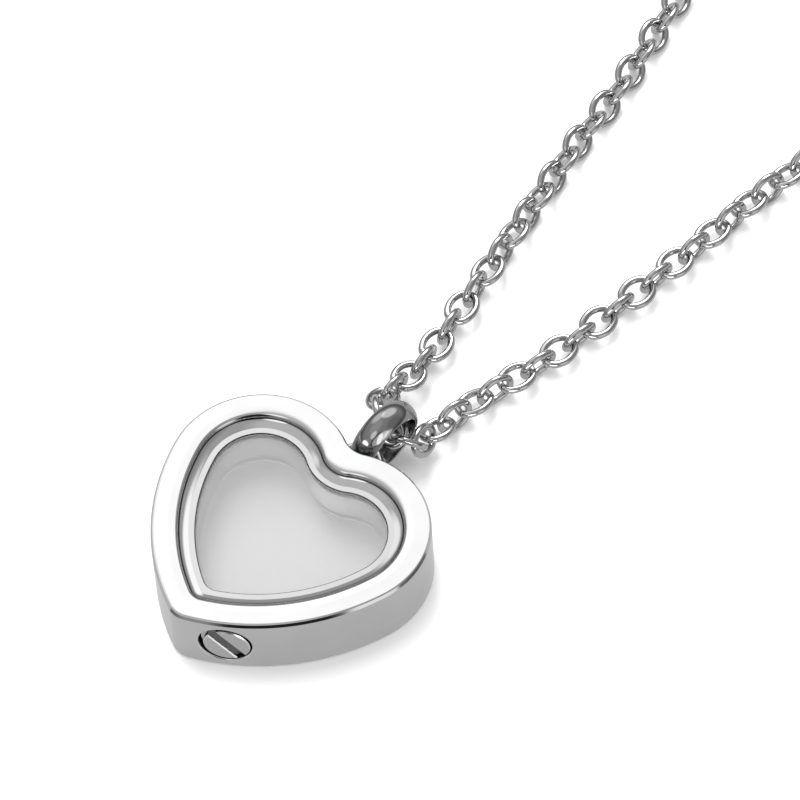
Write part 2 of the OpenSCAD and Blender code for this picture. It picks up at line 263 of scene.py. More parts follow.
WALL_STEPS, INNER_STEPS = 16, 8
roll = (ROLL_R * math.sin(math.radians(ROLL_DEG)), ROLL_R * (1 - math.cos(math.radians(ROLL_DEG))))
bevel = (CHAMFER * math.cos(math.radians(CHAMFER_DEG)), CHAMFER * math.sin(math.radians(CHAMFER_DEG)))
roll_at = bevel[0] + roll[0]
wall_top = CASE_T - roll[1] - bevel[1]
wall = (divided(line((0, CASE_T - wall_top), (0, wall_top)), WALL_STEPS), OUTER, OUTER, STEEL)
shoulder = (-SHOULDER_IN, CASE_T - SHOULDER_DROP)
cove = blend((-LIP_IN, LIP_Z), (-COVE_IN, LEDGE_Z), -COVE_TOP_DEG, -COVE_DEG, 12)
front = [
    (line((0, wall_top), (-bevel[0], wall_top + bevel[1])), OUTER, OUTER, STEEL),
    (arc((-roll_at, CASE_T - ROLL_R), ROLL_R, 90 - ROLL_DEG, 90, 8), OUTER, OUTER, STEEL),
    (line((-roll_at, CASE_T), (-SOFTEN_IN, CASE_T)), OUTER, OPENING, STEEL),
    (blend((-SOFTEN_IN, CASE_T), shoulder, 0, -SOFTEN_DEG, 8), OPENING, OPENING, STEEL),
    (blend(shoulder, (-LIP_IN, LIP_Z), -SOFTEN_DEG, -LIP_DEG, 12), OPENING, OPENING, STEEL),
    # The lip's steep part and, below, the window's round edge take the near-black steel: painted shade lines
    (cove[:3], OPENING, OPENING, SHADE_LINE),
    (cove[2:], OPENING, OPENING, STEEL),
    # The ledge takes steel toned darker than the rim's: painted shade that dims its mirrored softbox
    (line((-COVE_IN, LEDGE_Z), (-WINDOW_IN + EDGE_R, LEDGE_Z)), OPENING, WINDOW, LEDGE_SHADE),
    (arc((-WINDOW_IN + EDGE_R, LEDGE_Z - EDGE_R), EDGE_R, 90, 180, 4), WINDOW, WINDOW, SHADE_LINE),
    (line((-WINDOW_IN, LEDGE_Z - EDGE_R), (-WINDOW_IN, GROOVE_TOP)), WINDOW, WINDOW, STEEL),
    (line((-WINDOW_IN, GROOVE_TOP), (-GROOVE_IN, GROOVE_TOP)), WINDOW, WINDOW, SEAT),
    (line((-GROOVE_IN, GROOVE_TOP), (-GROOVE_IN, GROOVE_LOW)), WINDOW, WINDOW, SEAT),
    (line((-GROOVE_IN, GROOVE_LOW), (-WINDOW_IN, GROOVE_LOW)), WINDOW, WINDOW, SEAT),
]
inner_wall = line((-WINDOW_IN, GROOVE_LOW), (-WINDOW_IN, CASE_T - GROOVE_LOW))
# The chamber wall takes steel toned to match the floor's even shade behind the glass: a lit copy of the steel
inner = (divided(inner_wall, INNER_STEPS), WINDOW, WINDOW, CHAMBER_EVEN_SHADE)
section = [wall] + front + [inner] + flip(front)
INNER_NO = len(front) + 1

# Bore of the fill screw: a frame at its mouth whose Z axis points out of the wall
BORE_ANGLE = math.radians(-56.5)
OUT = Vector((math.cos(BORE_ANGLE), math.sin(BORE_ANGLE), 0))
ALONG, UP = Vector((-OUT.y, OUT.x, 0)), Vector((0, 0, 1))
MOUTH = Vector((FLANK_X + FLANK_R * math.cos(BORE_ANGLE), FLANK_Y + FLANK_R * math.sin(BORE_ANGLE), CASE_T / 2))
AT_BORE = Matrix.Translation(MOUTH) @ Matrix((ALONG, UP, OUT)).transposed().to_4x4()
BORE_R, BORE_DEPTH, MOUTH_BEVEL, CHANNEL_R = 2.2, 2.61, 0.15, 1.1
PORT_RINGS = 3
# Columns of the outline between which the wall is left open round the bore and round the channel
BORE_COLUMNS, CHANNEL_COLUMNS = (TIP_N + 2, TIP_N + 19), (TIP_N - 4, TIP_N + 12)


def on_flank(x, y, inset):
    """The point of the flank's wall, set in by inset, at x along and y up from the bore's axis, and its normal."""
    r = FLANK_R - inset
    a = BORE_ANGLE + math.asin(x / r)
    n = Vector((math.cos(a), math.sin(a), 0))
    return Vector((FLANK_X, FLANK_Y, CASE_T / 2 + y)) + n * r, n


def port(skin, rows, piece, r0, r1, c0, c1, radius, inset, facing):
    """Closes the gap left in a wall with a patch that has a round hole in it, and returns the hole's rim and the
    angle of each of its points about the bore."""
    cells = [(r0, c) for c in range(c0, c1)] + [(r, c1) for r in range(r0, r1)]
    cells += [(r1, c) for c in range(c1, c0, -1)] + [(r, c0) for r in range(r1, r0, -1)]
    edge = [rows[piece, r][c] for r, c in cells]
    pts = [Vector(skin.points[i]) for i in edge]
    angles = [math.atan2((p - MOUTH).dot(UP), (p - MOUTH).dot(ALONG)) for p in pts]
    _, dirs = outline(inset, *(OUTER if inset == 0 else WINDOW))
    edge_n = [Vector((*dirs[c], 0)) * facing for _, c in cells]
    circle = [on_flank(radius * math.cos(a), radius * math.sin(a), inset) for a in angles]
    row, kept = edge, edge_n
    for k in range(1, PORT_RINGS + 1):
        f = k / PORT_RINGS
        new = skin.add([p.lerp(q, f) if f < 1 else q for p, (q, _) in zip(pts, circle)])
        if inset == 0 and f < 1:
            for i in new:
                p = Vector(skin.points[i])
                q, _ = on_flank((p - MOUTH).dot(ALONG), p.z - CASE_T / 2, inset)
                skin.points[i] = tuple(q)
        now = [m.lerp(n * facing, f) for m, (_, n) in zip(edge_n, circle)]
        skin.strip(row, new, kept, now)
        row, kept = new, now
    return row, angles


def wire(skin, centres, runs, sides_dir, radii, sides=14, closed=True):
    """Round wire along centres, with capped ends where it isn't closed. runs are its directions and sides_dir a
    direction square to each, in its plane."""
    first = None
    for c, t, s, r in zip(centres, runs, sides_dir, radii):
        u = s.normalized()
        v = t.normalized().cross(u)
        aim = [u * math.cos(a) + v * math.sin(a) for a in (2 * math.pi * k / sides for k in range(sides))]
        new = skin.add([c + n * r for n in aim])
        if first is None:
            first = (new, aim)
        else:
            skin.strip(row, new, kept, aim)
        row, kept = new, aim
    if closed:
        skin.strip(row, first[0], kept, first[1])
    else:
        skin.fan(first[0], -runs[0].normalized(), flip=True)
        skin.fan(row, runs[-1].normalized())


MOUTH_STEPS, EAR_STEPS, FOOT_STEPS = 3, 40, 5
EAR_OUT, EAR_R, EAR_WIRE_R, EAR_FOOT, EAR_FLARE = 0.35, 2.0, 0.3, 0.62, 0.16


def make_case(*materials):
    skin = Skin()
    gaps = {(0, r, c) for r in range(1, WALL_STEPS - 1) for c in range(*BORE_COLUMNS)}
    gaps |= {(INNER_NO, r, c) for r in range(INNER_STEPS) for c in range(*CHANNEL_COLUMNS)}
    rows = sweep(skin, section, skip=gaps)
    row, angles = port(skin, rows, 0, 1, WALL_STEPS - 1, *BORE_COLUMNS, BORE_R + MOUTH_BEVEL, 0, 1)
    port(skin, rows, INNER_NO, 0, INNER_STEPS, *CHANNEL_COLUMNS, CHANNEL_R, WINDOW_IN, -1)

    def spin(a):
        return ALONG * math.cos(a) + UP * math.sin(a)

    def on_wall(r, a, inset, deeper):
        return on_flank(r * math.cos(a), r * math.sin(a), inset)[0] - OUT * deeper

    def deep(r, a, d):
        return MOUTH + spin(a) * r - OUT * d

    # The mouth's rounding, the bore, its floor and the channel on to the chamber. The first row of each is the one
    # before it, so only its normals are given
    inward, outward = [-spin(a) for a in angles], [OUT] * len(angles)
    mouth = [(None, outward)]
    for t in (math.radians(90 * k / MOUTH_STEPS) for k in range(1, MOUTH_STEPS + 1)):
        r, deeper = BORE_R + MOUTH_BEVEL * (1 - math.sin(t)), MOUTH_BEVEL * (1 - math.cos(t))
        mouth.append(([on_wall(r, a, 0, deeper) for a in angles],
                      [OUT * math.cos(t) - spin(a) * math.sin(t) for a in angles]))
    bore = [(None, inward), ([deep(BORE_R, a, BORE_DEPTH) for a in angles], inward)]
    floor = [(None, outward), ([deep(CHANNEL_R, a, BORE_DEPTH) for a in angles], outward)]
    channel = [(None, inward), ([on_wall(CHANNEL_R, a, WINDOW_IN, 0) for a in angles], inward)]
    # The bore, its floor and the channel take the very dark bore steel, partly painted shade; the mouth's rounding
    # takes the lighter bevel steel, a painted highlight
    for piece, skin.finish in ((mouth, EDGE_HIGHLIGHT), (bore, BORE_SHADE), (floor, BORE_SHADE), (channel, BORE_SHADE)):
        kept = piece[0][1]
        for pts, now in piece[1:]:
            new = skin.add(pts)
            skin.strip(row, new, kept, now)
            row, kept = new, now
    skin.finish = STEEL

    # The ear, soldered into the notch with a small flare at each foot
    ear_y, path = NOTCH_Y - NOTCH_R + EAR_OUT, []

    def foot(side, f):
        """One ring of the wire in a foot, at the share f of the way up from the foot's end."""
        centre = Vector((side * EAR_R, ear_y - EAR_FOOT * (1 - f), CASE_T / 2))
        path.append((centre, Vector((0, side, 0)), Vector((side, 0, 0)), EAR_WIRE_R + EAR_FLARE * (1 - f) ** 2))

    for k in range(FOOT_STEPS):
        foot(1, k / FOOT_STEPS)
    for k in range(EAR_STEPS + 1):
        a = math.pi * k / EAR_STEPS
        d = Vector((math.cos(a), math.sin(a), 0))
        path.append((Vector((0, ear_y, CASE_T / 2)) + d * EAR_R, Vector((-d.y, d.x, 0)), d, EAR_WIRE_R))
    for k in range(1, FOOT_STEPS + 1):
        foot(-1, 1 - k / FOOT_STEPS)
    wire(skin, *zip(*path), 20, closed=False)
    return skin.build("case_metal", *materials)


PANE_IN, PANE_BEVEL, PANE_LOW, PANE_TOP = 3.17, 0.05, 4.41, 5.11


def make_pane(name, z0, z1, material):
    skin = Skin()
    inset, bevel = PANE_IN, PANE_BEVEL
    profile = [
        (line((-inset, z0 + bevel), (-inset, z1 - bevel)), WINDOW, WINDOW, 0),
        (line((-inset, z1 - bevel), (-inset - bevel, z1)), WINDOW, WINDOW, 0),
    ]
    rows = sweep(skin, profile, closed=False)
    top = rows[1, 1]
    below = sweep(skin, [(line((-inset - bevel, z0), (-inset, z0 + bevel)), WINDOW, WINDOW, 0)], closed=False)
    low, joint = below[0, 0], below[0, 1]
    same = dict(zip(joint, rows[0, 0]))
    skin.faces = [tuple(same.get(i, i) for i in f) for f in skin.faces]
    skin.fan(top, (0, 0, 1))
    skin.fan(low, (0, 0, -1), flip=True)
    return skin.build(name, material)


SCREW_L, SCREW_R, HEAD_R, HEAD_H, RECESS = 2.4, 2.15, 1.93, 0.55, 0.06
SLOT_W, SLOT_D, SLOT_DEG = 0.84, 0.4, 37
THREAD_D, PITCH = 0.12, 0.4
HEAD_BEVEL, SCREW_SIDES, ARC_N, CHORD_N = 0.09, 96, 40, 16
HEAD_OFF = (0.13, -0.1, 0)
# Radius at which a turned face that reaches the axis ends
NEAR_AXIS = 0.0001
# The screw's finishes, in the order of its materials: the slot floor's steel is toned dark as painted shade, and the
# bevel's is toned light as a painted highlight
HEAD, SLOT_SHADE, RIM_HIGHLIGHT = range(3)


def half_head(d):
    """Outline of one half of the head, set in by d, its chord on the slot's side, and its outward directions."""
    r, x = HEAD_R - d, SLOT_W / 2 + d
    a = math.acos(x / r)
    dirs = [(math.cos(-a + 2 * a * k / ARC_N), math.sin(-a + 2 * a * k / ARC_N)) for k in range(ARC_N)]
    pts = [(r * c, r * s) for c, s in dirs]
    h = r * math.sin(a)
    pts += [(x, h - 2 * h * k / CHORD_N) for k in range(CHORD_N)]
    return pts, dirs + [(-1, 0)] * CHORD_N


def make_screw(*materials):
    skin = Skin()
    place = AT_BORE @ Matrix.Translation((0, 0, -RECESS - SCREW_L))
    shank, top = SCREW_L - HEAD_H, SCREW_L - SLOT_D
    ridges = math.ceil(shank / PITCH) - 1
    lead, core = shank - ridges * PITCH, SCREW_R - THREAD_D
    thread = [line((NEAR_AXIS, 0), (core, 0)), line((core, 0), (core, lead))]
    for k in range(ridges):
        z = lead + k * PITCH
        thread.append(line((core, z), (SCREW_R, z + PITCH / 2)))
        thread.append(line((SCREW_R, z + PITCH / 2), (core, z + PITCH)))
    thread.append(line((core, shank), (NEAR_AXIS, shank)))
    lathe(skin, thread, place, SCREW_SIDES)
    # The head stands a little off the thread's axis
    off = place @ Matrix.Translation(HEAD_OFF)
    lathe(skin, [line((NEAR_AXIS, shank), (HEAD_R, shank)), line((HEAD_R, shank), (HEAD_R, top))], off, SCREW_SIDES)
    # The slot floor takes the dark steel: painted shade in the recess
    skin.finish = SLOT_SHADE
    lathe(skin, [line((HEAD_R - 0.001, top), (NEAR_AXIS, top))], off, SCREW_SIDES)
    # Two halves of the head, either side of the driver slot
    for side in (0, 1):
        angle = math.radians(SLOT_DEG - 90) + side * math.pi
        turn = off @ Matrix.Rotation(angle, 4, "Z") @ Matrix.Rotation(-math.pi / 2, 4, "Z")
        turn3 = turn.to_3x3()

        def ring(d, z):
            return skin.add([turn @ Vector((x, y, z)) for x, y in half_head(d)[0]])

        dirs = half_head(0)[1]
        low, high, lip = ring(0, top), ring(0, SCREW_L - HEAD_BEVEL), ring(HEAD_BEVEL, SCREW_L)
        n = len(low)
        # The bevel round the top of each half takes the lighter bevel steel: a painted highlight
        for a, c, tilt, skin.finish in ((low, high, 0.0, HEAD), (high, lip, 1.0, RIM_HIGHLIGHT)):
            for i in range(n):
                j = (i + 1) % n
                to = dirs[j] if i < j < ARC_N else dirs[i]
                vi, vj = turn3 @ Vector((*dirs[i], tilt)), turn3 @ Vector((*to, tilt))
                skin.face((a[i], a[j], c[j], c[i]), (vi, vj, vj, vi))
        skin.finish = HEAD
        skin.fan(lip, turn3 @ Vector((0, 0, 1)))
        skin.fan(low, turn3 @ Vector((0, 0, -1)), flip=True)
    return skin.build("fill_screw_metal", *materials)


BAIL_R, BAIL_BAND, BAIL_CROWN, BAIL_W, BAIL_SOFT = 3.35, 0.76, 1.5, 2.3, 0.08
BAIL_OUT, BAIL_Z, BAIL_LEAN = 0.25, 3.81, 7.9


def make_bail(material):
    skin = Skin()
    h, crown, soft = BAIL_W / 2, BAIL_CROWN, BAIL_SOFT
    cx = BAIL_R - crown
    top = math.degrees(math.asin((h - soft) / (crown - soft)))
    end = (cx + (crown - soft) * math.cos(math.radians(top)), h - soft)
    in_r = BAIL_R - BAIL_BAND
    profile = [
        arc((cx, 0), crown, -top, top, 24),
        arc(end, soft, top, 90, 4),
        line((end[0], h), (in_r + soft, h)),
        arc((in_r + soft, h - soft), soft, 90, 180, 4),
        line((in_r, h - soft), (in_r, -h + soft)),
        arc((in_r + soft, -h + soft), soft, 180, 270, 4),
        line((in_r + soft, -h), (end[0], -h)),
        arc((end[0], -end[1]), soft, 270, 360 - top, 4),
    ]
    bail_y = NOTCH_Y - NOTCH_R + BAIL_OUT + BAIL_R
    place = Matrix.Translation((0, bail_y, BAIL_Z)) @ Matrix.Rotation(math.radians(90 + BAIL_LEAN), 4, "Y")
    lathe(skin, profile, place, 160, closed=True)
    return skin.build("bail_metal", material)


# ------------------------------------------------------------------ chain
WIRE_D, LINK_L, LINK_W, LINK_BEND, LINK_GAP = 0.62, 3.62, 2.85, 60, 0.18
# The links next to the bail's middle are up to this share closer together, over so many links to each side
BUNCH, BUNCH_LINKS = 0.12, 8
LINK_A, LINK_B = (LINK_L - WIRE_D) / 2, (LINK_W - WIRE_D) / 2
RING_LEAN, RING_R, RING_WIRE = 60, 1.9, 0.6
TABLE_GAP, PLAY, ROUTE_STEPS = 0.03, 0.2, 8
END_Z = RING_R * math.sin(math.radians(RING_LEAN)) + RING_WIRE / 2 + TABLE_GAP


def rest_z(turn):
    a = math.radians(turn)
    return LINK_B * max(abs(math.sin(a)), abs(math.cos(a))) + WIRE_D / 2 + TABLE_GAP


# x, y, height above the resting height and turn of the links: the chain's route as it is laid
ROUTE = [
    (-10, 217, END_Z - rest_z(90), 90), (-20.5, 214, 0, 70), (-29.5, 204, 0, 45), (-34, 185, 0, 45),
    (-32.5, 155, 0, 45), (-26.8, 118, 0, 50), (-18.5, 86, 0, 50), (-11.04, 57.63, 0, 49), (-9.34, 48.53, 0, 42),
    (-6.97, 37.58, 0, 27), (-5.08, 28.93, 0, 0), (-3.64, 22.35, 0.1, -6.9), (-3.28, 17.88, 1.16, -2.7),
    (-2.46, 15.69, 2.2, 11.9), (-1.08, 14.61, 2.44, 23.4), (1.15, 14.41, 2.23, 25.3), (2.24, 15.59, 1.39, 59.4),
    (1.74, 18.14, 0.13, 72.9), (2.2, 22.1, 0, 75), (3.99, 30.16, 0, 98), (5, 38.88, 0, 102), (5.81, 47.83, 0, 82),
    (6.61, 56.88, 0, 68), (11, 86, 0, 50), (17.5, 118, 0, 45), (22.5, 155, 0, 45), (23.5, 187, 0, 45),
    (20, 205.5, 0, 45), (12, 214.5, 0, 45), (2, 217, END_Z - rest_z(RING_LEAN), RING_LEAN),
]


def link_places():
    """A matrix for each link, long way along X and flat in XY, in millimetres, as the CAD lays them."""
    p = np.array(ROUTE, float)
    samples = []
    for i in range(len(p) - 1):
        a, b, c, d = (p[min(max(i + k, 0), len(p) - 1)] for k in (-1, 0, 1, 2))
        for s in range(ROUTE_STEPS):
            t = s / ROUTE_STEPS
            samples.append(0.5 * (2 * b + (c - a) * t + (2 * a - 5 * b + 4 * c - d) * t * t
                                  + (3 * b - a - 3 * c + d) * t**3))
    samples = np.array(samples + [p[-1]])
    path = np.array([(x, y, rest_z(turn) + z) for x, y, z, turn in samples])
    lengths = np.concatenate([[0], np.cumsum(np.linalg.norm(np.diff(path, axis=0), axis=1))])
    pitch = LINK_L - 2 * WIRE_D - LINK_GAP
    count = 2 * round((lengths[-1] / pitch + BUNCH * BUNCH_LINKS) / 2)
    share = [1 - BUNCH * max(0, 1 - abs(i + 0.5 - count / 2) / BUNCH_LINKS) for i in range(count)]
    joints = lengths[-1] * np.concatenate([[0], np.cumsum(share)]) / sum(share)
    spots = np.stack([np.interp(joints, lengths, path[:, k]) for k in range(3)], 1)
    places = []
    for i in range(count):
        a, c = Vector(spots[i]), Vector(spots[i + 1])
        run = (c - a).normalized()
        turn = np.interp((joints[i] + joints[i + 1]) / 2, lengths, samples[:, 3]) + 90 * (i % 2)
        places.append(
            Matrix.Translation((a + c) / 2)
            @ Matrix.Rotation(math.atan2(run.y, run.x), 4, "Z")
            @ Matrix.Rotation(-math.asin(run.z), 4, "Y")
            @ Matrix.Rotation(math.radians(turn), 4, "X"))
    return places


def loop_path(c, h, bend, straight):
    """Centres, directions and outward directions of a flat loop: two half circles of radius c, 2 h apart."""
    out = []
    for end, start in ((1, -90), (-1, 90)):
        for k in range(bend):
            a = math.radians(start + 180 * k / bend)
            d = Vector((math.cos(a), math.sin(a), 0))
            out.append((Vector((end * h, 0, 0)) + d * c, Vector((-d.y, d.x, 0)), d))
        for k in range(straight):
            x = end * h * (1 - 2 * k / straight)
            out.append((Vector((x, end * c, 0)), Vector((-end, 0, 0)), Vector((0, end, 0))))
    return out


def oval_path(a, b, bend, ends, sides):
    """The same for an oval of four arcs, a long and b wide from its middle, whose ends turn bend to each side."""
    t = math.radians(bend)
    shift = (a - b) / (math.sin(t) + math.cos(t) - 1)
    end_c, side_c = shift * math.cos(t), shift * math.sin(t)
    arcs = (((end_c, 0), a - end_c, -t, 2 * t, ends), ((0, -side_c), b + side_c, t, math.pi - 2 * t, sides))
    out = []
    for sign in (1, -1):
        for c, r, start, span, n in arcs:
            for k in range(n):
                q = start + span * k / n
                d = Vector((math.cos(q), math.sin(q), 0)) * sign
                out.append((Vector((*c, 0)) * sign + d * r, Vector((-d.y, d.x, 0)), d))
    return out


def ring_of_wire(skin, path, place, radius, sides=14):
    """Closed round wire along one of these paths."""
    turn = place.to_3x3()
    wire(skin, [place @ c for c, _, _ in path], [turn @ t for _, t, _ in path], [turn @ d for _, _, d in path],
         [radius] * len(path), sides)


def make_links(name, places, material):
    skin = Skin()
    path = oval_path(LINK_A, LINK_B, LINK_BEND, 11, 6)
    for place in places:
        ring_of_wire(skin, path, place, WIRE_D / 2)
    return skin.build(name, material)


EYE_WIRE, EYE_D, CLASP_W, CLASP_WIRE = 0.8, 3.2, 5.0, 1.4
RING_X = ROUTE[-1][0] + PLAY / 2 + RING_WIRE / 2 - RING_R


def make_clasp(material):
    """A loop through the end ring, with an eye for the last link of the other strand."""
    skin = Skin()
    eye_r = (EYE_D - EYE_WIRE) / 2
    eye_x = ROUTE[0][0] - PLAY / 2 - EYE_WIRE / 2 + eye_r
    at = Matrix.Translation((eye_x, ROUTE[0][1], END_Z))
    ring_of_wire(skin, loop_path(eye_r, 0, 28, 0), at, EYE_WIRE / 2, 20)
    x0, x1 = eye_x + eye_r, RING_X - RING_R + RING_WIRE / 2 + PLAY + CLASP_WIRE
    at = Matrix.Translation(((x0 + x1) / 2, ROUTE[0][1], END_Z))
    path = loop_path((CLASP_W - CLASP_WIRE) / 2, (x1 - x0 - CLASP_W) / 2, 36, 3)
    ring_of_wire(skin, path, at, CLASP_WIRE / 2, 28)
    return skin.build("clasp_metal", material)


def make_end_ring(lean, material):
    skin = Skin()
    at = Matrix.Translation((RING_X, ROUTE[0][1], END_Z)) @ Matrix.Rotation(math.radians(lean), 4, "X")
    ring_of_wire(skin, loop_path(RING_R, 0, 32, 0), at, RING_WIRE / 2, 18)
    return skin.build("end_ring_metal", material)


# ------------------------------------------------------------------ materials
def nodes_of(mat):
    mat.use_nodes = True
    nt = mat.node_tree
    nt.nodes.clear()
    return nt


def put(nt, kind, **sockets):
    node = nt.nodes.new(kind)
    for key, value in sockets.items():
        if hasattr(node, key) and key not in node.inputs:
            setattr(node, key, value)
        else:
            node.inputs[key.replace("_", " ")].default_value = value
    return node


def noise(nt, scale, detail):
    """Noise in the piece's own coordinates."""
    node = put(nt, "ShaderNodeTexNoise", Scale=scale, Detail=detail)
    nt.links.new(nt.nodes.new("ShaderNodeTexCoord").outputs["Object"], node.inputs["Vector"])
    return node


def mirrored(nt):
    """1 for rays that a shiny surface sends on, 0 for the rest and for those that passed through glass."""
    rays = nt.nodes.new("ShaderNodeLightPath")
    node = put(nt, "ShaderNodeMath", operation="SUBTRACT", use_clamp=True)
    nt.links.new(rays.outputs["Is Glossy Ray"], node.inputs[0])
    nt.links.new(rays.outputs["Is Transmission Ray"], node.inputs[1])
    return node


def mix(nt, share, low, high):
    """A mix shader of two shaders, by an output that gives the second's share."""
    node = nt.nodes.new("ShaderNodeMixShader")
    for k, source in enumerate((share, low.outputs[0], high.outputs[0])):
        nt.links.new(source, node.inputs[k])
    return node


CLOUD_SCALE, GRAIN_SCALE, TONE_SPREAD = 260.0, 4200.0, 0.03


def metal(name, tone, rough, spread=0.01, grain=1.0):
    """Polished metal: faint cloudiness in tone and gloss, and the fine directionless grain that buffing leaves."""
    mat = bpy.data.materials.new(name)
    nt = nodes_of(mat)
    link = nt.links.new
    out = nt.nodes.new("ShaderNodeOutputMaterial")
    sh = put(nt, "ShaderNodeBsdfPrincipled", Metallic=1.0)
    link(sh.outputs[0], out.inputs[0])
    cloud = noise(nt, CLOUD_SCALE, 3.0)
    ramp = nt.nodes.new("ShaderNodeValToRGB")
    ends = ((0.3, tone * (1 - TONE_SPREAD)), (0.7, tone * (1 + TONE_SPREAD)))
    for end, (position, c) in zip(ramp.color_ramp.elements, ends):
        end.position, end.color = position, (c, c, c * 1.01, 1)
    link(cloud.outputs["Fac"], ramp.inputs[0])
    link(ramp.outputs[0], sh.inputs["Base Color"])
    fine = noise(nt, GRAIN_SCALE, 2.0)
    gloss = put(nt, "ShaderNodeMapRange")
    gloss.inputs["From Min"].default_value, gloss.inputs["From Max"].default_value = 0.3, 0.7
    gloss.inputs["To Min"].default_value, gloss.inputs["To Max"].default_value = rough - spread, rough + spread
    link(fine.outputs["Fac"], gloss.inputs["Value"])
    link(gloss.outputs[0], sh.inputs["Roughness"])
    bump = put(nt, "ShaderNodeBump", Strength=0.03 * grain, Distance=0.00001)
    link(fine.outputs["Fac"], bump.inputs["Height"])
    link(bump.outputs[0], sh.inputs["Normal"])
    return mat


def clear_glass(name):
    """Clear pane with a very faint cloudiness; lamps shine through it."""
    mat = bpy.data.materials.new(name)
    nt = nodes_of(mat)
    link = nt.links.new
    out = nt.nodes.new("ShaderNodeOutputMaterial")
    sh = put(nt, "ShaderNodeBsdfPrincipled", IOR=1.5)
    sh.inputs["Transmission Weight"].default_value = 1.0
    sh.inputs["Base Color"].default_value = (0.87, 0.87, 0.87, 1)
    cloud = noise(nt, 150.0, 2.0)
    gloss = put(nt, "ShaderNodeMapRange")
    gloss.inputs["To Min"].default_value, gloss.inputs["To Max"].default_value = 0.0, 0.03
    link(cloud.outputs["Fac"], gloss.inputs["Value"])
    link(gloss.outputs[0], sh.inputs["Roughness"])
    haze = put(nt, "ShaderNodeBsdfDiffuse")
    haze.inputs["Color"].default_value = (0.9, 0.9, 0.9, 1)
    hazed = nt.nodes.new("ShaderNodeMixShader")
    hazed.inputs[0].default_value = 0.12
    link(sh.outputs[0], hazed.inputs[1])
    link(haze.outputs[0], hazed.inputs[2])
    through = nt.nodes.new("ShaderNodeBsdfTransparent")
    through.inputs[0].default_value = (0.895, 0.895, 0.895, 1)
    rays = nt.nodes.new("ShaderNodeLightPath")
    link(mix(nt, rays.outputs["Is Shadow Ray"], hazed, through).outputs[0], out.inputs[0])
    return mat


def seal(name, tone):
    """Pale matt bedding of the panes, a little uneven."""
    mat = bpy.data.materials.new(name)
    nt = nodes_of(mat)
    out = nt.nodes.new("ShaderNodeOutputMaterial")
    sh = put(nt, "ShaderNodeBsdfPrincipled", Roughness=0.6)
    nt.links.new(sh.outputs[0], out.inputs[0])
    cloud = noise(nt, 700.0, 2.0)
    ramp = nt.nodes.new("ShaderNodeValToRGB")
    for end, c in zip(ramp.color_ramp.elements, (tone * 0.94, tone * 1.04)):
        end.color = (c, c, c, 1)
    nt.links.new(cloud.outputs["Fac"], ramp.inputs[0])
    nt.links.new(ramp.outputs[0], sh.inputs["Base Color"])
    return mat


def table_surface():
    """Matt white surface. In the metal's mirrors it is painted: a faint grey matt plus a steady grey glow stand in
    for the lit white, so it mirrors darker and even.
    """
    mat = bpy.data.materials.new("table")
    nt = nodes_of(mat)
    out = nt.nodes.new("ShaderNodeOutputMaterial")
    white = put(nt, "ShaderNodeBsdfDiffuse")
    white.inputs["Color"].default_value = (0.93, 0.93, 0.93, 1)
    grey = put(nt, "ShaderNodeBsdfDiffuse")
    grey.inputs["Color"].default_value = (0.1, 0.1, 0.1, 1)
    painted_mirror_glow = put(nt, "ShaderNodeEmission", Strength=0.52)
    painted_mirror_look = nt.nodes.new("ShaderNodeAddShader")
    nt.links.new(grey.outputs[0], painted_mirror_look.inputs[0])
    nt.links.new(painted_mirror_glow.outputs[0], painted_mirror_look.inputs[1])
    # Rays that the metal mirrors see the painted grey glow in place of the lit table: a painted reflection
    nt.links.new(mix(nt, mirrored(nt).outputs[0], white, painted_mirror_look).outputs[0], out.inputs[0])
    return mat


steel = metal("polished_steel", 0.62, 0.07)
sealant = seal("pane_seat", 0.72)
# Very dark rough steel in the bore: partly its unpolished thread, partly painted shade for the dark gap round the
# screw head
bore_shade_steel = metal("bore_shade_steel", 0.12, 0.35, spread=0.05, grain=3.0)
# Steel toned darker than the rim's, so the ledge mirrors the softbox more dimly: painted shade
ledge_shade_steel = metal("ledge_shade_steel", 0.48, 0.1, spread=0.02)
# Near-black steel on the lip and the window's edge: a painted shade line
shade_line_steel = metal("shade_line_steel", 0.1, 0.15, spread=0.02)
# Steel toned lighter than the rim's and blurred, so the chamber wall behind the glass matches the floor's even
# shade: a lit copy of the steel
chamber_even_shade_steel = metal("chamber_even_shade_steel", 0.78, 0.22, spread=0.03)
screw_steel = metal("screw_steel", 0.56, 0.16, spread=0.02, grain=2.0)
# Dark steel on the slot floor: painted shade in the recess
slot_shade_steel = metal("slot_shade_steel", 0.16, 0.3, spread=0.05, grain=3.0)
# Rougher bevel steel toned lighter than the polished steel, so the bevels show as light lines: a painted highlight
edge_highlight_steel = metal("edge_highlight_steel", 0.75, 0.3, spread=0.04)
link_steel = metal("chain_steel", 0.51, 0.08, spread=0.02)
dark = metal("dark_steel", 0.33, 0.11, spread=0.02)
glass = clear_glass("clear_glass")

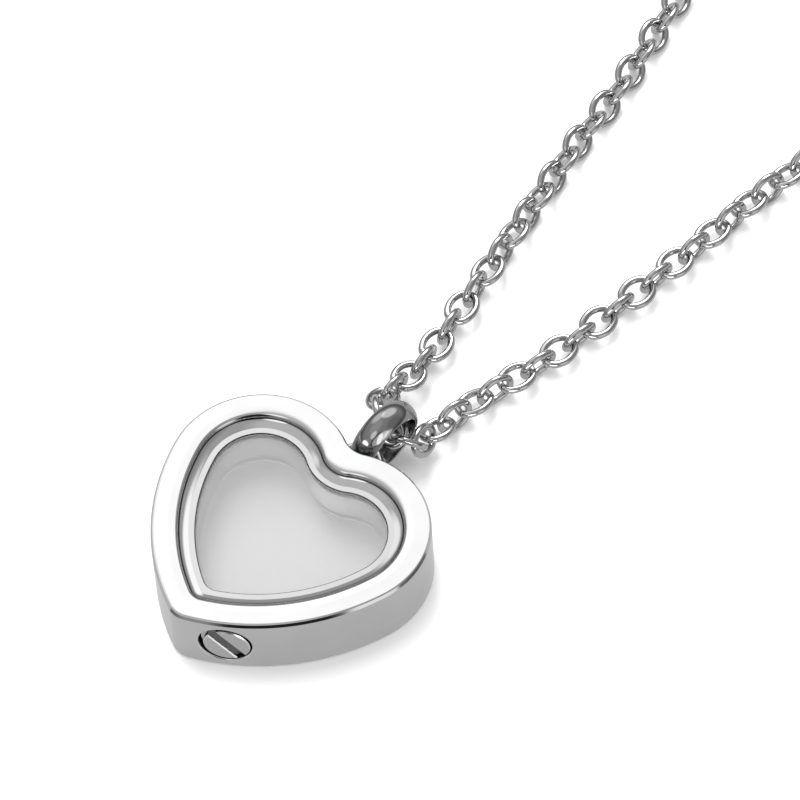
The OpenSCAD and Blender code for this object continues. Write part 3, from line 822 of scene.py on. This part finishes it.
# ------------------------------------------------------------------ pieces
places = link_places()
half = (len(places) + 1) // 2
lean = 90 - (RING_LEAN + 90 * ((len(places) - 1) % 2))
pieces = {
    "case": (make_case(steel, sealant, bore_shade_steel, ledge_shade_steel, shade_line_steel, chamber_even_shade_steel, edge_highlight_steel),
             "pendant", "polished_steel"),
    "front_glass": (make_pane("front_pane", PANE_LOW, PANE_TOP, glass), "pendant", "clear_glass"),
    "back_glass": (make_pane("back_pane", CASE_T - PANE_TOP, CASE_T - PANE_LOW, glass), "pendant", "clear_glass"),
    "fill_screw": (make_screw(screw_steel, slot_shade_steel, edge_highlight_steel), "fill_screw", "polished_steel"),
    "bail": (make_bail(dark), "pendant", "dark_steel"),
    "chain_left": (make_links("left_links", places[:half], link_steel), "pendant", "chain_steel"),
    "chain_right": (make_links("right_links", places[half:], link_steel), "pendant", "chain_steel"),
    "clasp": (make_clasp(link_steel), "pendant", "chain_steel"),
    "end_ring": (make_end_ring(lean, link_steel), "pendant", "chain_steel"),
}
for node, (piece, body, slot) in pieces.items():
    lo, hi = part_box(node)
    mine = np.array([v.co for v in piece.data.vertices])
    off = max(np.abs(mine.min(0) - np.array(lo)).max(), np.abs(mine.max(0) - np.array(hi)).max())
    print(f"{node}: {len(mine)} points, off the solid's box by {off / MM:.3f} mm")
    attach(piece, body)
    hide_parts(node)

# ------------------------------------------------------------------ studio
bpy.ops.mesh.primitive_plane_add(size=8, location=(0, 0, 0))
table = bpy.context.object
table.name = "table"
table.data.materials.append(table_surface())


def toward(az, el):
    """Direction seen from the object: azimuth from +X towards +Y, elevation above the table, in degrees."""
    a, e = math.radians(az), math.radians(el)
    return (math.cos(a) * math.cos(e), math.sin(a) * math.cos(e), math.sin(e))


def area_light(name, shape, az, el, far, middle=(0, 0, 0)):
    """An area light that faces middle from so many metres off; the camera doesn't see it."""
    ob = bpy.data.objects.new(name, bpy.data.lights.new(name, "AREA"))
    ob.data.shape = shape
    d = Vector(toward(az, el))
    ob.location = d * far + Vector(middle)
    ob.rotation_mode = "QUATERNION"
    ob.rotation_quaternion = d.to_track_quat("Z", "Y")
    ob.visible_camera = False
    bpy.context.scene.collection.objects.link(ob)
    return ob


def lamp(name, az, el, size, watts):
    """A softbox one metre off that lights the matt surfaces and throws the shadows, and that nothing mirrors."""
    ob = area_light(name, "SQUARE", az, el, 1)
    ob.data.size = size
    ob.data.energy = watts
    ob.visible_glossy = False
    ob.visible_transmission = False


lamp("key", 148, 52, 0.4, 3.8)
lamp("top", 160, 72, 0.45, 4.3)

# What only the metal and glass mirror: softboxes and dark cards, each with its direction, full and outer radius in
# degrees and brightness, over a surround that darkens towards the horizon, from SKY_BASE at the height SKY_TOP to
# SKY_LOW at SKY_BOTTOM. DOME lights the matt surfaces and BACKDROP is what the camera sees
BOXES = [
    (toward(118, 47), 18, 27, 1.04),
    (toward(165, 42), 10, 24, 0.8),
    (toward(-130, 68), 12, 32, 0.2),
    (toward(-2, 16), 10, 18, 0.8),
    (toward(-78, 48), 9, 16, 1.0),
    (toward(-44, 28), 15, 30, -0.5),
    (toward(35, 35), 15, 35, -0.15),
]
SKY_BASE, SKY_LOW, SKY_TOP, SKY_BOTTOM = 0.5, 0.2, 0.42, 0.1
DOME, BACKDROP = 1.14, 1.0
GLINT_FAR, BAIL_MIDDLE = 0.5, (0, 0.0137, 0.004)


def glint(name, az, el, wide, high, bright, *nodes):
    """A small softbox that lights only the pieces for the given nodes; its size is in degrees."""
    ob = area_light(name, "ELLIPSE", az, el, GLINT_FAR, BAIL_MIDDLE)
    box = ob.data
    box.size, box.size_y = math.tan(math.radians(wide / 2)), math.tan(math.radians(high / 2))
    box.energy = bright * math.pi * math.pi / 4 * box.size * box.size_y
    lit = bpy.data.collections.new(name)
    for node in nodes:
        lit.objects.link(pieces[node][0])
    ob.light_linking.receiver_collection = lit


glint("glint_right", -30, 24, 22, 40, 2.6, "bail")
glint("glint_right_soft", -30, 24, 60, 44, 0.9, "bail")
glint("glint_left", -100, 14, 38, 20, 3.0, "bail")
glint("glint_chain", 118, 47, 30, 26, 9.0, "chain_left", "chain_right")
glint("glint_chain_low", -44, 18, 44, 20, 6.0, "chain_left", "chain_right")
glint("glint_screw", -6, 16, 50, 30, 4.0, "fill_screw")


def studio():
    world = bpy.data.worlds.new("studio")
    bpy.context.scene.world = world
    world.use_nodes = True
    world.cycles.sampling_method = "NONE"
    nt = world.node_tree
    nt.nodes.clear()
    link = nt.links.new
    where = nt.nodes.new("ShaderNodeTexCoord")
    parts = []
    for d, inner_r, outer_r, bright in BOXES:
        dot = put(nt, "ShaderNodeVectorMath", operation="DOT_PRODUCT")
        dot.inputs[1].default_value = Vector(d).normalized()
        link(where.outputs["Generated"], dot.inputs[0])
        edge = put(nt, "ShaderNodeMapRange", interpolation_type="SMOOTHSTEP")
        edge.inputs["From Min"].default_value = math.cos(math.radians(outer_r))
        edge.inputs["From Max"].default_value = math.cos(math.radians(inner_r))
        edge.inputs["To Max"].default_value = bright
        link(dot.outputs["Value"], edge.inputs["Value"])
        parts.append(edge)
    height = nt.nodes.new("ShaderNodeSeparateXYZ")
    link(where.outputs["Generated"], height.inputs[0])
    low = put(nt, "ShaderNodeMapRange", interpolation_type="SMOOTHSTEP")
    low.inputs["From Min"].default_value, low.inputs["From Max"].default_value = SKY_TOP, SKY_BOTTOM
    low.inputs["To Min"].default_value, low.inputs["To Max"].default_value = SKY_BASE, SKY_LOW
    link(height.outputs["Z"], low.inputs["Value"])
    parts.append(low)
    total = parts[0]
    for part in parts[1:]:
        add = put(nt, "ShaderNodeMath", operation="ADD")
        link(total.outputs[0], add.inputs[0])
        link(part.outputs[0], add.inputs[1])
        total = add
    floor = put(nt, "ShaderNodeMath", operation="MAXIMUM")
    floor.inputs[1].default_value = 0.02
    link(total.outputs[0], floor.inputs[0])
    shiny = nt.nodes.new("ShaderNodeBackground")
    link(floor.outputs[0], shiny.inputs["Strength"])
    soft = put(nt, "ShaderNodeBackground", Strength=DOME)
    seen = put(nt, "ShaderNodeBackground", Strength=BACKDROP)
    for n in (shiny, soft, seen):
        n.inputs["Color"].default_value = (1, 1, 1, 1)
    rays = nt.nodes.new("ShaderNodeLightPath")
    unseen = mix(nt, mirrored(nt).outputs[0], soft, shiny)
    out = nt.nodes.new("ShaderNodeOutputWorld")
    link(mix(nt, rays.outputs["Is Camera Ray"], unseen, seen).outputs[0], out.inputs[0])


studio()
bpy.context.scene.view_settings.view_transform = "Standard"

# ------------------------------------------------------------------ camera
# Its place and direction were fitted to the outlines in the photograph
data = bpy.data.cameras.new("camera")
data.sensor_width, data.lens = 36, 270
data.clip_start, data.clip_end = 0.01, 20
camera = bpy.data.objects.new("camera", data)
right, up, back = (0.73699, 0.67474, -0.03947), (-0.54078, 0.62368, 0.56441), (0.40545, -0.39462, 0.82454)
turn = Matrix((right, up, back)).transposed()
camera.rotation_mode = "QUATERNION"
camera.rotation_quaternion = turn.to_quaternion()
camera.location = (0.19941, -0.17828, 0.41228)
bpy.context.scene.collection.objects.link(camera)
bpy.context.scene.camera = camera
